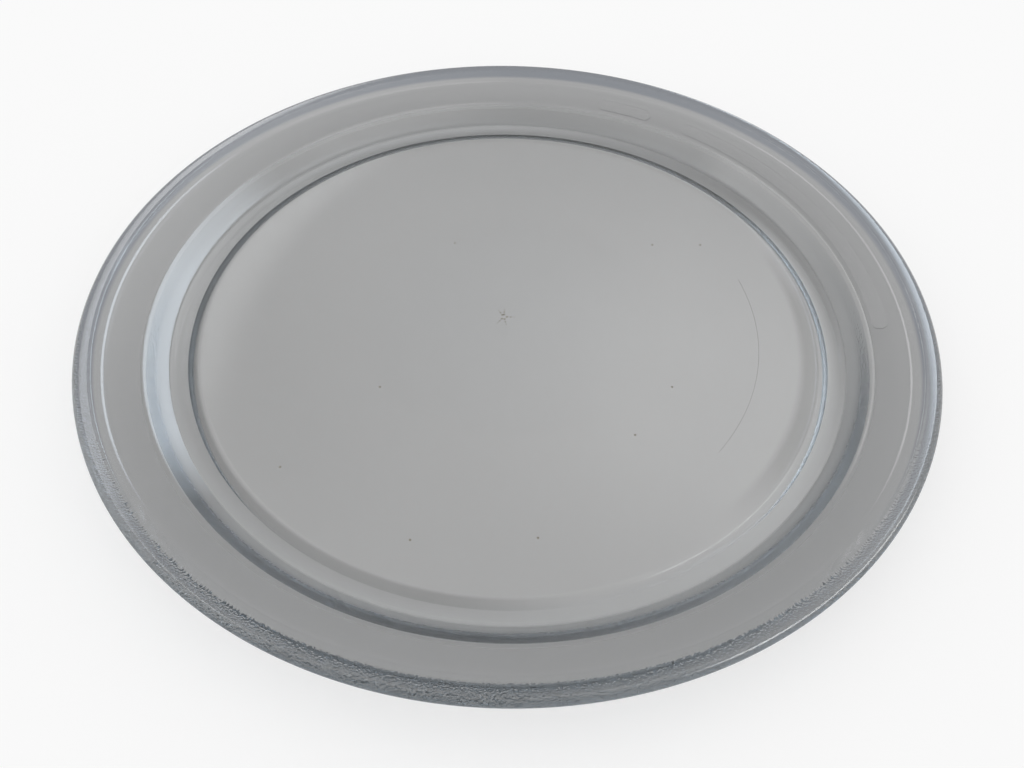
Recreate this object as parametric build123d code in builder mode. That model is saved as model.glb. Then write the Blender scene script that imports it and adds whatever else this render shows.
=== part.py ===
import os

from build123d import *

# Driving dimensions in millimetres
plate_d = 325.0  # over the lip
plate_h = 20.0  # underside of the foot to the crest of the lip
glass_t = 4.0  # pressed glass of the base and the flange

# Shallow crown in the middle of the cooking surface
crown_r = 62.0
crown_rise = 1.2

# Foot ring below the base, which keeps the wheels of the roller ring inside it
foot_w = 10.2
foot_h = 2.2
foot_draft = 2.2  # run of the ring's inner face
foot_cove = 1.6  # eased at the top of that face, along it and the base
foot_lean = 4.5  # run of the ring's outer face, up to the flange
foot_bevel = 2.8  # taken off the ring's outer corner, along both faces

# Rim, from the crest of the lip in to the cooking surface
crest_w = 5.0
lip_w = 3.9  # run of the lip's inner face
lip_drop = 2.0  # outer face of the lip
lip_draft = 1.6  # run of the lip's outer face
bead_w = 9.5  # thickened edge, seen from below
flange_w = 11.6
flange_rise = 4.0
wall_w = 8.8
wall_rise = 6.0

# Rounded corners
wall_round = 8.0
flange_round = 8.0
lip_round = 2.0

# Upper surface, from the outer edge in to the crown
outer_r = plate_d / 2
floor_z = foot_h + glass_t
edge = (outer_r - lip_draft, plate_h)
crest = (edge[0] - crest_w, plate_h)
flange = (crest[0] - lip_w, floor_z + wall_rise + flange_rise)
wall = (flange[0] - flange_w, floor_z + wall_rise)
wall_foot = (wall[0] - wall_w, floor_z)
crown_edge = (crown_r, floor_z)

# Underside: the flange keeps the glass thickness up to the bead, the foot stands in line with the wall
flange_slope = flange_rise / flange_w
flange_depth = glass_t * (1 + flange_slope**2) ** 0.5
edge_below = (outer_r, plate_h - lip_drop)
wall_below = (wall[0], wall[1] - flange_depth)
bead_r = outer_r - bead_w
bead_below = (bead_r, wall_below[1] + (bead_r - wall_below[0]) * flange_slope)
foot_edge = (wall[0] - foot_lean, 0)
foot_inside = (foot_edge[0] - foot_w, 0)
recess_edge = (foot_inside[0] - foot_draft, foot_h)

corners = [
    (crown_edge, 0),
    (wall_foot, 0),
    (wall, wall_round),
    (flange, flange_round),
    (crest, lip_round),
    (edge, lip_round),
    (edge_below, 0),
    (bead_below, 0),
    (wall_below, 0),
    (foot_edge, 0),
    (foot_inside, 0),
    (recess_edge, 0),
    ((0, foot_h), 0),
]

# One pressing, turned about its own axis
with BuildPart() as turntable_plate:
    with BuildSketch(Plane.XZ) as section:
        with BuildLine():
            crown = TangentArc((0, floor_z + crown_rise), crown_edge, tangent=(1, 0))
            FilletPolyline([place for place, _ in corners], radius=[size for _, size in corners[1:-1]])
            Line((0, foot_h), crown @ 0)
        make_face()
        chamfer(section.vertices().sort_by_distance((*foot_edge, 0))[:1], length=foot_bevel)
        chamfer(section.vertices().sort_by_distance((*recess_edge, 0))[:1], length=foot_cove)
    revolve(axis=Axis.Z)
turntable_plate.part.label = "turntable_plate"

os.makedirs("parts", exist_ok=True)
export_step(turntable_plate.part, "parts/turntable_plate.step")
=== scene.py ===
import math

import bmesh
import bpy
from mathutils import Matrix, Vector


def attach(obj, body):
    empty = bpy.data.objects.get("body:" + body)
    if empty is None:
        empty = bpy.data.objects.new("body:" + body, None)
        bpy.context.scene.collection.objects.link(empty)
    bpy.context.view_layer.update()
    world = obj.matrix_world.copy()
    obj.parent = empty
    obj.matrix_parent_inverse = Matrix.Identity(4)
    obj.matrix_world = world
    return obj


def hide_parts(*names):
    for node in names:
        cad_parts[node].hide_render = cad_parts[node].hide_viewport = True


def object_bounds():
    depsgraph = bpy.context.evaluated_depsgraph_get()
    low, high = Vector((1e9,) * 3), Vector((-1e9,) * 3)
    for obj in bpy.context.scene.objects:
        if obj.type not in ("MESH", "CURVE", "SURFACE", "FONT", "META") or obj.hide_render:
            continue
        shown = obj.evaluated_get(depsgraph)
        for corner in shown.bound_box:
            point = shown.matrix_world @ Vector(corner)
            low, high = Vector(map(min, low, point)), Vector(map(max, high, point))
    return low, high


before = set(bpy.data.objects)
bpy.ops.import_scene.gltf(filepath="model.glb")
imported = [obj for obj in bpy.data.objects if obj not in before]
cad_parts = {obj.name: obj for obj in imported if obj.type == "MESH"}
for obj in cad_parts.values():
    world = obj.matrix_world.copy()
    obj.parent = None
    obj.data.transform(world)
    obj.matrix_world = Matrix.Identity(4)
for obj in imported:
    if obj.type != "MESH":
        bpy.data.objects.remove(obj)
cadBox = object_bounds()
mm = 0.001  # the scene is in metres, like the frame
mergeGap = 0.002 * mm  # points closer than this are one
outerR = (cadBox[1][0] - cadBox[0][0]) / 2
plateH = cadBox[1][2] - cadBox[0][2]
print("frame loaded, plate", round(outerR * 2 / mm, 1), "by", round(plateH / mm, 1), "mm")


def hexColor(text):  # sRGB hex to linear colour
    channels = [int(text[i:i + 2], 16) / 255 for i in (1, 3, 5)]
    return [c / 12.92 if c <= 0.04045 else ((c + 0.055) / 1.055) ** 2.4 for c in channels] + [1.0]


def addNode(tree, kind, inputs={}, **settings):  # a node with its settings and what feeds it
    node = tree.nodes.new(kind)
    for name, value in settings.items():
        setattr(node, name, value)
    for key, value in inputs.items():
        if isinstance(value, bpy.types.NodeSocket):
            tree.links.new(value, node.inputs[key])
        else:
            node.inputs[key].default_value = value
    return node


def calc(tree, operation, *values):
    return addNode(tree, "ShaderNodeMath", dict(enumerate(values)), operation=operation).outputs[0]


def fade(tree, value, start, end, low=0.0, high=1.0):  # smooth change from low to high
    return addNode(tree, "ShaderNodeMapRange", {
        "Value": value, "From Min": start, "From Max": end, "To Min": low, "To Max": high},
        interpolation_type="SMOOTHSTEP").outputs[0]


def fromAxis(tree, position):  # distance from the plate's axis
    flat = addNode(tree, "ShaderNodeVectorMath", {0: position, 1: (1, 1, 0)}, operation="MULTIPLY")
    return addNode(tree, "ShaderNodeVectorMath", {0: flat.outputs[0]}, operation="LENGTH").outputs["Value"]


def aroundAxis(tree, axes):  # degrees round the plate's axis
    return calc(tree, "DEGREES", calc(tree, "ARCTAN2", axes["Y"], axes["X"]))


def mixColor(tree, share, first, second):
    return addNode(tree, "ShaderNodeMix", {
        "Factor": share, 6: first, 7: second}, data_type="RGBA").outputs[2]


def mergeClose(tree, shape):
    return addNode(tree, "GeometryNodeMergeByDistance", {
        "Geometry": shape, "Distance": mergeGap}).outputs[0]


def storeValue(tree, shape, name, value):
    return addNode(tree, "GeometryNodeStoreNamedAttribute", {
        "Geometry": shape, "Name": name, "Value": value}, data_type="FLOAT", domain="POINT").outputs[0]


def newMaterial(name):
    material = bpy.data.materials.new(name)
    material.use_nodes = True
    material.node_tree.nodes.clear()
    return material, material.node_tree


def newTree(name, **inputs):  # geometry tree with named inputs, and what they give
    tree = bpy.data.node_groups.new(name, "GeometryNodeTree")
    for label, kind in inputs.items():
        tree.interface.new_socket(label, in_out="INPUT", socket_type="NodeSocket" + kind)
    tree.interface.new_socket("Geometry", in_out="OUTPUT", socket_type="NodeSocketGeometry")
    return tree, addNode(tree, "NodeGroupInput").outputs


def endTree(tree, shape, material):
    realized = addNode(tree, "GeometryNodeRealizeInstances", {"Geometry": shape})
    dressed = addNode(tree, "GeometryNodeSetMaterial", {
        "Geometry": realized.outputs[0], "Material": material})
    addNode(tree, "NodeGroupOutput", {"Geometry": dressed.outputs[0]})
    return tree


def runTree(source, tree, values):  # the tree's result as a plain mesh object
    bpy.context.scene.collection.objects.link(source)
    modifier = source.modifiers.new("shape", "NODES")
    modifier.node_group = tree
    for item in tree.interface.items_tree:
        if item.in_out == "INPUT" and item.name in values:
            modifier[item.identifier] = values[item.name]
    bpy.context.view_layer.update()
    graph = bpy.context.evaluated_depsgraph_get()
    mesh = bpy.data.meshes.new_from_object(source.evaluated_get(graph), depsgraph=graph)
    name = source.name
    bpy.data.objects.remove(source)
    piece = bpy.data.objects.new(name, mesh)
    bpy.context.scene.collection.objects.link(piece)
    print(piece.name, len(mesh.vertices), "points", len(mesh.polygons), "faces")
    return piece


# Pressed glass plate: one section turned about the axis
plateShape = {  # millimetres
    "glass": 4.0,
    "crownRadius": 62.0, "crownRise": 1.2, "crownSteps": 16,
    "footWidth": 10.2, "footHeight": 2.2, "footDraft": 2.2, "footLean": 4.5,
    "crestWidth": 5.0, "lipWidth": 3.9, "lipDrop": 2.0, "lipDraft": 1.6, "beadWidth": 9.5,
    "flangeWidth": 11.6, "flangeRise": 4.0, "wallWidth": 8.8, "wallRise": 6.0,
    "wallFootRound": 1.2, "wallRound": 8.0, "flangeRound": 8.0, "crestRound": 2.0, "edgeRound": 4.6,
    "lipRound": 1.0, "beadRound": 0.3, "underRound": 0.6, "footRound": 9.0, "footInnerRound": 0.2,
    "coveRound": 7.2,
    "segments": 360, "cornerSteps": 10, "grainFrom": 133.0,
}
floorZ = plateShape["footHeight"] + plateShape["glass"]
edgeR = outerR / mm - plateShape["lipDraft"]
crestR = edgeR - plateShape["crestWidth"]
flangeR = crestR - plateShape["lipWidth"]
wallR = flangeR - plateShape["flangeWidth"]
wallZ = floorZ + plateShape["wallRise"]
flangeSlope = plateShape["flangeRise"] / plateShape["flangeWidth"]
beadR = outerR / mm - plateShape["beadWidth"]


def sectionCorners(s):  # (radius, height, rounding) from the crown out to the lip and back underneath
    top, outer = plateH / mm, outerR / mm
    belowZ = wallZ - s["glass"] * math.hypot(1, flangeSlope)
    footR = wallR - s["footLean"]
    innerR = footR - s["footWidth"]
    steps = [k / s["crownSteps"] for k in range(s["crownSteps"] + 1)]
    crown = [(s["crownRadius"] * k, floorZ + s["crownRise"] * (1 - k * k), 0) for k in steps]
    rim = [
        (wallR - s["wallWidth"], floorZ, s["wallFootRound"]), (wallR, wallZ, s["wallRound"]),
        (flangeR, wallZ + s["flangeRise"], s["flangeRound"]),
        (crestR, top, s["crestRound"]), (edgeR, top, s["edgeRound"]),
        (outer, top - s["lipDrop"], s["lipRound"]),
        (beadR, belowZ + (beadR - wallR) * flangeSlope, s["beadRound"]),
        (wallR, belowZ, s["underRound"]), (footR, 0, s["footRound"]), (innerR, 0, s["footInnerRound"]),
        (innerR - s["footDraft"], s["footHeight"], s["coveRound"]),
    ]
    base = [(s["crownRadius"] * k, s["footHeight"], 0) for k in reversed(steps)]
    return crown + rim + base


def sectionCurve(corners):
    curve = bpy.data.curves.new("section", "CURVE")
    curve.dimensions = "3D"
    line = curve.splines.new("POLY")
    line.points.add(len(corners) - 1)
    for point, (r, z, rounding) in zip(line.points, corners):
        point.co = (r * mm, 0, z * mm, 1)
        point.radius = rounding * mm
    return bpy.data.objects.new("turntable_glass", curve)


def turningTree(glass, w):  # rounds the section, turns it, and marks where grain, the corner's dark line and scuff are
    tree, source = newTree("turnedGlass", **{
        "Section": "Geometry", "Segments": "Int", "Corner Steps": "Int", "Grain From": "Float"})
    rounding = addNode(tree, "GeometryNodeInputRadius")
    rounded = addNode(tree, "GeometryNodeFilletCurve", {
        "Curve": source["Section"], "Count": source["Corner Steps"], "Radius": rounding.outputs[0],
        "Limit Radius": True}, mode="POLY")
    outline = addNode(tree, "GeometryNodeCurveToMesh", {"Curve": rounded.outputs[0]}).outputs[0]
    rows = addNode(tree, "GeometryNodeAttributeDomainSize", {"Geometry": outline}).outputs["Point Count"]
    columns = calc(tree, "ADD", source["Segments"], 1.0)
    grid = addNode(tree, "GeometryNodeMeshGrid", {"Vertices X": columns, "Vertices Y": rows})
    index = addNode(tree, "GeometryNodeInputIndex").outputs[0]
    row = calc(tree, "MODULO", index, rows)
    column = calc(tree, "FLOOR", calc(tree, "DIVIDE", index, rows))
    angle = calc(tree, "MULTIPLY", calc(tree, "DIVIDE", column, source["Segments"]), -math.tau)
    position = addNode(tree, "GeometryNodeInputPosition").outputs[0]
    sample = addNode(tree, "GeometryNodeSampleIndex", {
        "Geometry": outline, "Value": position, "Index": row}, data_type="FLOAT_VECTOR", domain="POINT")
    turned = addNode(tree, "ShaderNodeVectorRotate", {
        "Vector": sample.outputs[0], "Axis": (0, 0, 1), "Angle": angle}, rotation_type="AXIS_ANGLE")
    placed = addNode(tree, "GeometryNodeSetPosition", {
        "Geometry": grid.outputs[0], "Position": turned.outputs[0]})
    smooth = addNode(tree, "GeometryNodeSetShadeSmooth", {"Geometry": mergeClose(tree, placed.outputs[0])})
    normal = addNode(tree, "GeometryNodeInputNormal").outputs[0]
    upward = addNode(tree, "ShaderNodeSeparateXYZ", {0: normal}).outputs["Z"]
    below = calc(tree, "LESS_THAN", upward, 0.2)  # faces that look down or out
    radius = fromAxis(tree, position)
    grained = calc(tree, "MULTIPLY", below, calc(tree, "GREATER_THAN", radius, source["Grain From"]))
    marked = storeValue(tree, smooth.outputs[0], "grain", grained)
    darkened = storeValue(tree, marked, "darkening", ringLineAndScuffMask(tree, position, radius, w))
    return endTree(tree, darkened, glass)


# What use has left on the glass, with a dark line in the foot ring's corner and a painted shadow of the
# foot ring inside it, in millimetres from the axis and degrees round it
wearAndShadow = {
    "underside": 3.0,  # the corner's dark line, the scuff and the painted shadow lie below this height
    "ringFrom": 121.5, "ringTo": 126.0, "unmarkedFrom": -88.0, "unmarkedTo": 30.0, "unmarkedBlend": 12.0,  # a dark line in the foot ring's corner, none from the near side round to the right
    "ringNear": 0.5, "ringFar": 1.4,  # its strength on the near and the far side
    "scuffFrom": 126.0, "scuffTo": 133.0, "scuffMiddle": 22.0, "scuffReach": 80.0,  # foot's worn underside
    "scuffCore": 10.0, "scuffDepth": 0.8,
    "shadowFrom": 113.5, "shadowTo": 122.5, "shadowMiddle": -14.0, "shadowReach": 40.0,  # painted shadow of the foot ring, a dark band inside it
    "shadowCore": 14.0, "shadowDepth": 0.5,
    "arcRadius": 99.0, "arcWidth": 0.1, "arcDepth": 0.04, "arcGap": 0.06,  # rubbed by the rollers below
    "arcFrom": -40.0, "arcTo": 15.0,
    "specks": [(-24.2, 41.3), (60.7, 43.6), (81.5, 44.3), (61.4, -35.9), (-78.2, -75.9), (-30.9, -103.4),
               (10.9, -101.6), (-47.7, -39.1), (45.9, -58.7)],
    "speckSize": 0.45, "star": (-2.3, -2.6), "starRays": 5, "starReach": 4.2, "starSway": 0.4,
}


def beside(tree, turn, middle, reach, core, depth):  # depth near the middle, down to nothing at the reach
    off = calc(tree, "ABSOLUTE", calc(tree, "SUBTRACT", turn, middle))
    return fade(tree, off, reach, core, 0.0, depth)


def ringLineAndScuffMask(tree, position, radius, w):  # a dark line in the foot ring's corner, stronger on the far side and none from the near side round to the right, and scuff on the foot
    axes = addNode(tree, "ShaderNodeSeparateXYZ", {0: position}).outputs
    turn = aroundAxis(tree, axes)
    soft = w["unmarkedBlend"]
    left = calc(tree, "MAXIMUM", fade(tree, turn, w["unmarkedFrom"] + soft, w["unmarkedFrom"] - soft),
                fade(tree, turn, w["unmarkedTo"] - soft, w["unmarkedTo"] + soft))
    corner = calc(tree, "MULTIPLY", fade(tree, radius, w["ringFrom"] * mm, (w["ringFrom"] + 1.5) * mm),
                  fade(tree, radius, w["ringTo"] * mm, (w["ringTo"] - 0.5) * mm))
    farther = fade(tree, axes["Y"], -w["ringTo"] * mm, w["ringTo"] * mm, w["ringNear"], w["ringFar"])
    corner = calc(tree, "MULTIPLY", farther, calc(tree, "MULTIPLY", left, corner))
    under = calc(tree, "MULTIPLY", calc(tree, "GREATER_THAN", radius, w["scuffFrom"] * mm),
                 fade(tree, radius, (w["scuffTo"] + 1.5) * mm, w["scuffTo"] * mm))
    scuff = calc(tree, "MULTIPLY", under, beside(
        tree, turn, w["scuffMiddle"], w["scuffReach"], w["scuffCore"], w["scuffDepth"]))
    low = calc(tree, "LESS_THAN", axes["Z"], w["underside"] * mm)
    return calc(tree, "MULTIPLY", low, calc(tree, "MAXIMUM", corner, scuff))


def paintedShadowMask(tree, position, radius, w):  # painted shadow of the foot ring: a dark band just inside it, on the right side
    axes = addNode(tree, "ShaderNodeSeparateXYZ", {0: position}).outputs
    turn = aroundAxis(tree, axes)
    band = calc(tree, "MULTIPLY", fade(tree, radius, w["shadowFrom"] * mm, (w["shadowFrom"] + 4) * mm),
                fade(tree, radius, w["shadowTo"] * mm, (w["shadowTo"] - 1) * mm))
    band = calc(tree, "MULTIPLY", band, beside(
        tree, turn, w["shadowMiddle"], w["shadowReach"], w["shadowCore"], w["shadowDepth"]))
    return calc(tree, "MULTIPLY", calc(tree, "LESS_THAN", axes["Z"], w["underside"] * mm), band)


# Pressed soda-lime glass: clear and polished above, with the mould's fine grain on its flanks below
glassLook = {
    "clear": "#c4c3c2", "grained": "#979797", "bead": "#666b74",  # dark and dull in the foot ring's corner and on the scuff, and the painted shadow inside the foot ring
    "darkening": "#5a5650", "darkeningDepth": 0.5,  # dull where dirt sits in the corner
    "ior": 1.5, "footRough": 0.36, "flangeRough": 0.2, "beadRough": 0.1,  # satin below, polished above
    "pebble": 0.65, "pebbleDepth": 0.1, "pebblesFrom": 155.0, "footPebbles": 0.5,  # fine lumps that glitter
    "body": (0.4, 0.55, 0.66, 1), "density": 21.0,  # long paths along the rim turn navy
}


def pressedGlass(g):
    material, tree = newMaterial("pressed_glass")
    place = addNode(tree, "ShaderNodeTexCoord").outputs["Object"]
    radius = fromAxis(tree, place)
    grain = addNode(tree, "ShaderNodeAttribute", attribute_name="grain").outputs["Fac"]
    satin = fade(tree, radius, wallR * mm, (wallR + 3) * mm, g["footRough"], g["flangeRough"])
    crisp = fade(tree, radius, g["pebblesFrom"] * mm, (g["pebblesFrom"] + 1) * mm,
                 1.0, g["beadRough"] / g["flangeRough"])
    rough = calc(tree, "MULTIPLY", grain, calc(tree, "MULTIPLY", satin, crisp))
    onBead = fade(tree, radius, g["pebblesFrom"] * mm, (g["pebblesFrom"] + 1) * mm)
    inBead = fade(tree, radius, (g["pebblesFrom"] + 1.5) * mm, (g["pebblesFrom"] + 3) * mm)
    onFoot = fade(tree, radius, (wallR + 1) * mm, (wallR - 1) * mm, 0.0, g["footPebbles"])
    pebbled = calc(tree, "MULTIPLY", grain, calc(tree, "MAXIMUM", onBead, onFoot))
    pebbles = addNode(tree, "ShaderNodeTexNoise", {
        "Vector": place, "Scale": 1 / (g["pebble"] * mm), "Detail": 0.0}).outputs[0]
    bump = addNode(tree, "ShaderNodeBump", {
        "Height": calc(tree, "MULTIPLY", pebbles, pebbled), "Distance": g["pebbleDepth"] * mm})
    color = mixColor(tree, grain, hexColor(g["clear"]), hexColor(g["grained"]))
    color = mixColor(tree, calc(tree, "MULTIPLY", grain, inBead), color, hexColor(g["bead"]))
    thin = addNode(tree, "ShaderNodeAttribute", attribute_name="thin").outputs["Fac"]
    color = mixColor(tree, thin, color, hexColor("#ffffff"))  # the plate below a panel gives the tint
    glass = addNode(tree, "ShaderNodeBsdfPrincipled", {
        "Base Color": color, "Roughness": rough, "IOR": g["ior"], "Transmission Weight": 1.0,
        "Normal": bump.outputs[0]})
    # dark diffuse for the corner's dark line, the scuff and the painted shadow of the foot ring
    darkening = addNode(tree, "ShaderNodeBsdfDiffuse", {"Color": hexColor(g["darkening"])})
    darkened = addNode(tree, "ShaderNodeAttribute", attribute_name="darkening").outputs["Fac"]
    # the painted shadow of the foot ring joins the marks stored on the mesh
    darkened = calc(tree, "MAXIMUM", darkened, paintedShadowMask(tree, place, radius, wearAndShadow))
    dimmed = addNode(tree, "ShaderNodeMixShader", {
        0: calc(tree, "MULTIPLY", darkened, g["darkeningDepth"]), 1: glass.outputs[0], 2: darkening.outputs[0]})
    body = addNode(tree, "ShaderNodeVolumeAbsorption", {"Color": g["body"], "Density": g["density"]})
    addNode(tree, "ShaderNodeOutputMaterial", {"Surface": dimmed.outputs[0], "Volume": body.outputs[0]})
    return material


glass = pressedGlass(glassLook)
plate = runTree(sectionCurve(sectionCorners(plateShape)), turningTree(glass, wearAndShadow), {
    "Segments": plateShape["segments"], "Corner Steps": plateShape["cornerSteps"],
    "Grain From": plateShape["grainFrom"] * mm})
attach(plate, "root")
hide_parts("turntable_plate")

# Bare raised panels on the flange, in the places of its moulded marks
panels = {
    "long_panel": {"middle": 26.0, "spread": 60.0},  # degrees round the axis
    "short_panel": {"middle": 68.0, "spread": 10.5},
}
panelShape = {"radius": 144.3, "height": 5.6, "thickness": 0.3, "gap": 0.03, "steps": 121, "rows": 9}


def panelTree(glass, p):  # a flat strip with round ends, bent round the flange and given its thickness
    tree, source = newTree("flangePanel", **{
        "Base": "Geometry", "Length": "Float", "Middle": "Float", "Radius": "Float", "Height": "Float"})
    grid = addNode(tree, "GeometryNodeMeshGrid", {
        "Size X": 2.0, "Size Y": 2.0, "Vertices X": p["steps"], "Vertices Y": p["rows"]})
    position = addNode(tree, "GeometryNodeInputPosition").outputs[0]
    axes = addNode(tree, "ShaderNodeSeparateXYZ", {0: position}).outputs
    half = calc(tree, "MULTIPLY", source["Height"], 0.5)
    reach = calc(tree, "MULTIPLY", source["Length"], 0.5)
    eased = calc(tree, "SINE", calc(tree, "MULTIPLY", axes["X"], math.pi / 2))  # closer rows at the ends
    along = calc(tree, "MULTIPLY", reach, eased)
    straight = calc(tree, "SUBTRACT", reach, half)
    past = calc(tree, "MAXIMUM", calc(tree, "SUBTRACT", calc(tree, "ABSOLUTE", along), straight), 0.0)
    room = calc(tree, "SUBTRACT", calc(tree, "MULTIPLY", half, half), calc(tree, "MULTIPLY", past, past))
    width = calc(tree, "SQRT", calc(tree, "MAXIMUM", room, 0.0))
    out = calc(tree, "ADD", source["Radius"], calc(tree, "MULTIPLY", width, axes["Y"]))
    angle = calc(tree, "ADD", source["Middle"], calc(tree, "DIVIDE", along, source["Radius"]))
    rise = calc(tree, "MULTIPLY", calc(tree, "SUBTRACT", out, wallR * mm), flangeSlope)
    spot = addNode(tree, "ShaderNodeCombineXYZ", {
        0: calc(tree, "MULTIPLY", out, calc(tree, "COSINE", angle)),
        1: calc(tree, "MULTIPLY", out, calc(tree, "SINE", angle)),
        2: calc(tree, "ADD", rise, (wallZ + p["gap"]) * mm)})
    placed = addNode(tree, "GeometryNodeSetPosition", {
        "Geometry": grid.outputs[0], "Position": spot.outputs[0]})
    merged = mergeClose(tree, placed.outputs[0])
    upper = addNode(tree, "GeometryNodeExtrudeMesh", {
        "Mesh": merged, "Offset Scale": p["thickness"] * mm, "Individual": False}, mode="FACES")
    lower = addNode(tree, "GeometryNodeFlipFaces", {"Mesh": merged})
    joined = addNode(tree, "GeometryNodeJoinGeometry")
    tree.links.new(upper.outputs[0], joined.inputs[0])
    tree.links.new(lower.outputs[0], joined.inputs[0])
    return endTree(tree, storeValue(tree, mergeClose(tree, joined.outputs[0]), "thin", 1.0), glass)


for name, panel in panels.items():
    start = bpy.data.objects.new(name, bpy.data.meshes.new(name))
    piece = runTree(start, panelTree(glass, panelShape), {
        "Length": math.radians(panel["spread"]) * panelShape["radius"] * mm,
        "Middle": math.radians(panel["middle"]), "Radius": panelShape["radius"] * mm,
        "Height": panelShape["height"] * mm})
    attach(piece, "root")

# Dried food: dull, and uneven in tone
residueLook = {"dark": "#57514a", "pale": "#989286", "mottle": 1.11, "rough": 0.8}  # mottle in millimetres


def driedResidue(g):
    material, tree = newMaterial("dried_residue")
    place = addNode(tree, "ShaderNodeTexCoord").outputs["Object"]
    uneven = addNode(tree, "ShaderNodeTexNoise", {
        "Vector": place, "Scale": 1 / (g["mottle"] * mm)}).outputs[0]
    color = mixColor(tree, uneven, hexColor(g["dark"]), hexColor(g["pale"]))
    skin = addNode(tree, "ShaderNodeBsdfPrincipled", {"Base Color": color, "Roughness": g["rough"]})
    addNode(tree, "ShaderNodeOutputMaterial", {"Surface": skin.outputs[0]})
    return material


def fleckPoints(w):  # a point for each fleck on the cooking surface, with its size
    flecks = [(x, y, w["speckSize"]) for x, y in w["specks"]]
    for ray in range(w["starRays"]):
        turn = math.tau * ray / w["starRays"] + w["starSway"] * math.sin(2.4 * ray)  # uneven rays
        for step in (0.3, 0.65, 1.0):
            reach = w["starReach"] * step
            flecks.append((w["star"][0] + reach * math.cos(turn), w["star"][1] + reach * math.sin(turn),
                           w["speckSize"] * (1.1 - 0.5 * step)))  # finer toward the tip
    mesh = bpy.data.meshes.new("flecks")
    rise = [max(0, 1 - (x * x + y * y) / plateShape["crownRadius"] ** 2) for x, y, _ in flecks]
    mesh.from_pydata([(x * mm, y * mm, (floorZ + plateShape["crownRise"] * up) * mm)
                      for (x, y, _), up in zip(flecks, rise)], [], [])
    sizes = mesh.attributes.new("size", "FLOAT", "POINT")
    for item, fleck in zip(sizes.data, flecks):
        item.value = fleck[2] * mm
    return bpy.data.objects.new("dried_residue", mesh)


def residueTree(material, w):  # flecks on their points, and the worn arc below the base
    tree, source = newTree("driedResidue", **{
        "Points": "Geometry", "Arc Radius": "Float", "Arc Width": "Float", "Arc Start": "Float",
        "Arc Sweep": "Float", "Arc Height": "Float"})
    fleck = addNode(tree, "GeometryNodeMeshIcoSphere", {"Radius": 1.0, "Subdivisions": 2})
    flat = addNode(tree, "GeometryNodeTransform", {  # a flattened crumb, just clear of the glass
        "Geometry": fleck.outputs[0], "Scale": (1.0, 1.0, 0.2), "Translation": (0, 0, 0.25)})
    size = addNode(tree, "GeometryNodeInputNamedAttribute", {"Name": "size"}, data_type="FLOAT").outputs[0]
    placed = addNode(tree, "GeometryNodeInstanceOnPoints", {
        "Points": source["Points"], "Instance": flat.outputs[0], "Scale": size})
    arc = addNode(tree, "GeometryNodeCurveArc", {
        "Resolution": 96, "Radius": source["Arc Radius"], "Start Angle": source["Arc Start"],
        "Sweep Angle": source["Arc Sweep"]}, mode="RADIUS")
    bar = addNode(tree, "GeometryNodeCurvePrimitiveQuadrilateral", {
        "Width": source["Arc Width"], "Height": w["arcDepth"] * mm}, mode="RECTANGLE")
    line = addNode(tree, "GeometryNodeCurveToMesh", {
        "Curve": arc.outputs[0], "Profile Curve": bar.outputs[0], "Fill Caps": True})
    low = addNode(tree, "ShaderNodeCombineXYZ", {2: source["Arc Height"]})
    lowered = addNode(tree, "GeometryNodeTransform", {
        "Geometry": line.outputs[0], "Translation": low.outputs[0]})
    joined = addNode(tree, "GeometryNodeJoinGeometry")
    tree.links.new(placed.outputs[0], joined.inputs[0])
    tree.links.new(lowered.outputs[0], joined.inputs[0])
    return endTree(tree, joined.outputs[0], material)


residue = runTree(fleckPoints(wearAndShadow), residueTree(driedResidue(residueLook), wearAndShadow), {
    "Arc Radius": wearAndShadow["arcRadius"] * mm, "Arc Width": wearAndShadow["arcWidth"] * mm,
    "Arc Start": math.radians(wearAndShadow["arcFrom"]), "Arc Sweep": math.radians(wearAndShadow["arcTo"] - wearAndShadow["arcFrom"]),
    "Arc Height": (plateShape["footHeight"] - wearAndShadow["arcGap"]) * mm})
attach(residue, "root")

# Floor, plain, pale and seamless
studio = {"floorColor": "#f2f2f2", "whiteShare": 0.6, "halfSize": 7.0, "drop": 0.3}


def paleFloor(s):
    material, tree = newMaterial("pale_floor")
    path = addNode(tree, "ShaderNodeLightPath").outputs
    shown = calc(tree, "MAXIMUM", path["Is Camera Ray"], path["Is Glossy Ray"])
    shown = calc(tree, "MAXIMUM", shown, path["Is Transmission Ray"])
    paint = addNode(tree, "ShaderNodeBsdfDiffuse", {"Color": hexColor(s["floorColor"])})
    glow = addNode(tree, "ShaderNodeEmission", {"Color": hexColor("#ffffff"), "Strength": 1.0})
    share = calc(tree, "MULTIPLY", shown, s["whiteShare"])
    mixed = addNode(tree, "ShaderNodeMixShader", {0: share, 1: paint.outputs[0], 2: glow.outputs[0]})
    addNode(tree, "ShaderNodeOutputMaterial", {"Surface": mixed.outputs[0]})
    return material


def layFloor(s):
    mesh = bpy.data.meshes.new("floor")
    half, z = s["halfSize"], -s["drop"] * mm
    corners = [(-half, -half, z), (half, -half, z), (half, half, z), (-half, half, z)]
    mesh.from_pydata(corners, [], [(0, 1, 2, 3)])
    mesh.materials.append(paleFloor(s))
    mesh.materials[0].cycles.emission_sampling = "NONE"  # seen in the glass, not needed as a lamp
    floor = bpy.data.objects.new("floor", mesh)
    bpy.context.scene.collection.objects.link(floor)


layFloor(studio)
print("floor laid")

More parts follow.
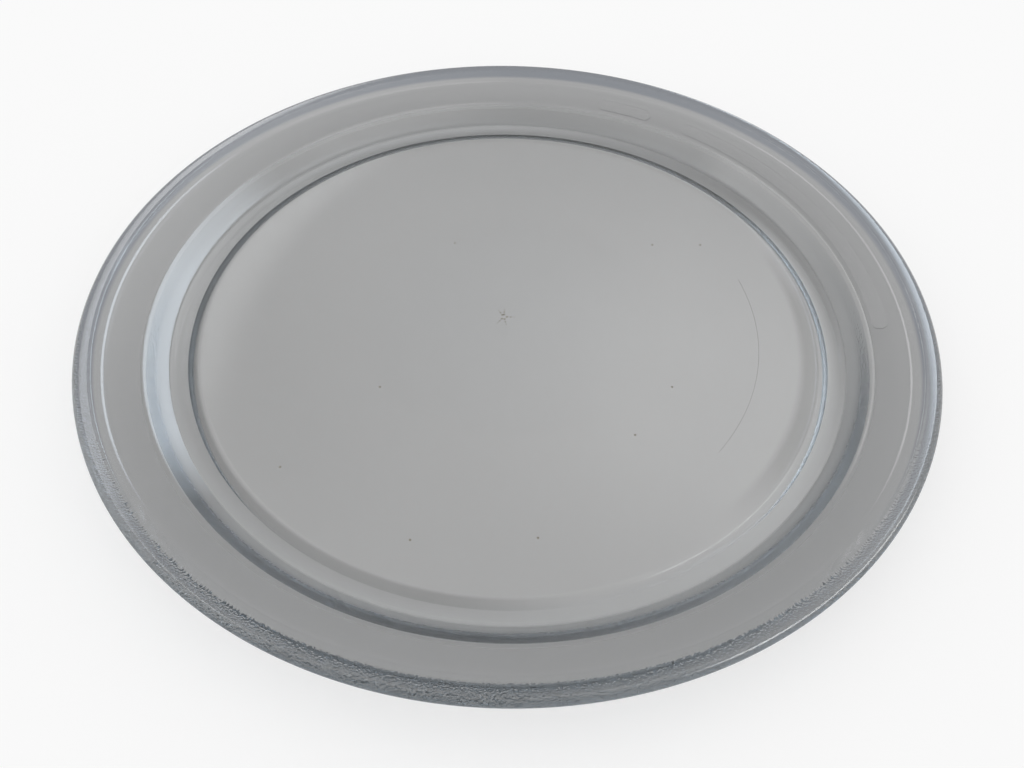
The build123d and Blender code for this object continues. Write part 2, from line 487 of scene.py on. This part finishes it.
# Plain soft tent round the plate, seen only in the glass, with azimuths that turn right from the near side
tent = {
    "radius": 6.0, "blend": 8.0,
    "bands": [  # (lowest elevation, stops of azimuth and strength)
        (0, [(0, 0.3), (120, 0.8), (180, 0.4), (270, 0.9), (330, 0.3)]),
        (40, [(0, 0.2), (90, 1.5), (130, 1.6), (165, 1.5), (182, 0.9), (205, 0.25), (270, 0.9),
              (320, 0.3)]),
        (60, [(0, 0.6), (96, 2.0), (150, 0.5), (200, 0.5), (270, 1.2), (320, 0.6)]),
    ],
    "boxes": [  # (colour, spread, steps between points, points of azimuth, elevation and strength)
        ("#e6f3ff", 7, 6, [(118, 53, 0.8), (136, 41, 1.8), (151, 30, 2.0), (165, 17, 1.7)]),  # far left
        ("#ffffff", 6, 9, [(193, 25, 1.1), (217, 44, 1.1), (250, 64, 0.8)]),  # far right
        ("#ffffff", 9, 5, [(55, 48, 2.4), (75, 40, 2.4), (95, 28, 2.4)]),  # right
    ],
}


def alongBox(points, steps):
    for (a, e, s), (a2, e2, s2) in zip(points, points[1:]):
        for k in range(steps):
            share = k / steps
            yield a + (a2 - a) * share, e + (e2 - e) * share, s + (s2 - s) * share
    yield points[-1]


def tentRamp(tree, share, stops, peak):
    stops = stops + [(360, stops[0][1])]
    ramp = addNode(tree, "ShaderNodeValToRGB", {0: share})
    while len(ramp.color_ramp.elements) < len(stops):
        ramp.color_ramp.elements.new(0.5)
    for stop, (degrees, strength) in zip(ramp.color_ramp.elements, stops):
        stop.position = degrees / 360
        stop.color = [strength / peak] * 3 + [1]
    return ramp.outputs[0]


def tentMaterial(t):
    material, tree = newMaterial("light_tent")
    place = addNode(tree, "ShaderNodeTexCoord").outputs["Object"]
    aim = addNode(tree, "ShaderNodeVectorMath", {0: place}, operation="NORMALIZE").outputs[0]
    axes = addNode(tree, "ShaderNodeSeparateXYZ", {0: aim}).outputs
    turn = calc(tree, "ARCTAN2", axes["X"], calc(tree, "MULTIPLY", axes["Y"], -1.0))
    share = calc(tree, "WRAP", calc(tree, "DIVIDE", turn, math.tau), 1.0, 0.0)
    peak = max(stop[1] for _, stops in t["bands"] for stop in stops)
    color = None
    for start, stops in t["bands"]:
        band = tentRamp(tree, share, stops, peak)
        if color is None:
            color = band
            continue
        lower, upper = (math.sin(math.radians(start + k * t["blend"])) for k in (-1, 1))
        lift = fade(tree, axes["Z"], lower, upper)
        color = mixColor(tree, lift, color, band)
    for tint, spread, steps, points in t["boxes"]:
        for azimuth, elevation, strength in alongBox(points, steps):
            across, rise = math.radians(azimuth), math.radians(elevation)
            middle = (math.cos(rise) * math.sin(across), -math.cos(rise) * math.cos(across), math.sin(rise))
            near = addNode(tree, "ShaderNodeVectorMath", {0: aim, 1: middle}, operation="DOT_PRODUCT")
            rim = math.cos(math.radians(spread))
            spot = fade(tree, near.outputs["Value"], rim, 1.0, 0.0, strength / peak)
            color = addNode(tree, "ShaderNodeVectorMath", {
                0: spot, 1: hexColor(tint)[:3], 2: color}, operation="MULTIPLY_ADD").outputs[0]
    glow = addNode(tree, "ShaderNodeEmission", {"Color": color, "Strength": peak})
    addNode(tree, "ShaderNodeOutputMaterial", {"Surface": glow.outputs[0]})
    return material


def lightTent(t):
    mesh = bpy.data.meshes.new("light_tent")
    shell = bmesh.new()
    bmesh.ops.create_uvsphere(shell, u_segments=96, v_segments=48, radius=t["radius"])
    bmesh.ops.delete(shell, geom=[v for v in shell.verts if v.co.z < -0.01], context="VERTS")
    shell.to_mesh(mesh)
    shell.free()
    mesh.materials.append(tentMaterial(t))
    mesh.materials[0].cycles.emission_sampling = "NONE"  # seen in the glass, not needed as a lamp
    piece = bpy.data.objects.new("light_tent", mesh)
    bpy.context.scene.collection.objects.link(piece)
    piece.visible_camera = False
    piece.visible_diffuse = False
    piece.visible_shadow = False


lightTent(tent)
world = bpy.data.worlds.new("studio")
bpy.context.scene.world = world
world.use_nodes = True
world.node_tree.nodes["Background"].inputs["Color"].default_value = hexColor("#ffffff")
world.node_tree.nodes["Background"].inputs["Strength"].default_value = 1.0
print("light set")

# Camera, fitted to the outline of the plate
cameraFit = {  # focal length in pixels, distance in plate radii, degrees, outline's height in millimetres
    "focal": 900.0, "width": 1024, "distance": 2.1697, "elevation": 44.439, "roll": 1.293, "yaw": -0.242,
    "pitch": 5.785, "ringHeight": 18.3,
}


def placeCamera(c):
    data = bpy.data.cameras.new("camera")
    data.sensor_width = 36
    data.lens = c["focal"] / c["width"] * data.sensor_width
    data.clip_start = 0.01
    elevation, pitch, yaw, roll = (math.radians(c[k]) for k in ("elevation", "pitch", "yaw", "roll"))
    back0 = Vector((0, -math.cos(elevation), math.sin(elevation)))
    right0 = Vector((1, 0, 0))
    up0 = back0.cross(right0)
    back1 = back0 * math.cos(pitch) + up0 * math.sin(pitch)
    up1 = up0 * math.cos(pitch) - back0 * math.sin(pitch)
    back = back1 * math.cos(yaw) + right0 * math.sin(yaw)
    right1 = right0 * math.cos(yaw) - back1 * math.sin(yaw)
    right = right1 * math.cos(roll) + up1 * math.sin(roll)
    up = up1 * math.cos(roll) - right1 * math.sin(roll)
    matrix = Matrix((right, up, back)).transposed().to_4x4()
    matrix.translation = Vector((0, 0, c["ringHeight"] * mm)) + back0 * (c["distance"] * outerR)
    camera = bpy.data.objects.new("camera", data)
    camera.matrix_world = matrix
    bpy.context.scene.collection.objects.link(camera)
    bpy.context.scene.camera = camera


placeCamera(cameraFit)
bpy.context.scene.view_settings.view_transform = "Standard"
lightBounces = 16  # light runs a long way inside the rim
for kind in ("max_bounces", "glossy_bounces", "transmission_bounces"):
    setattr(bpy.context.scene.cycles, kind, lightBounces)
print("camera placed")
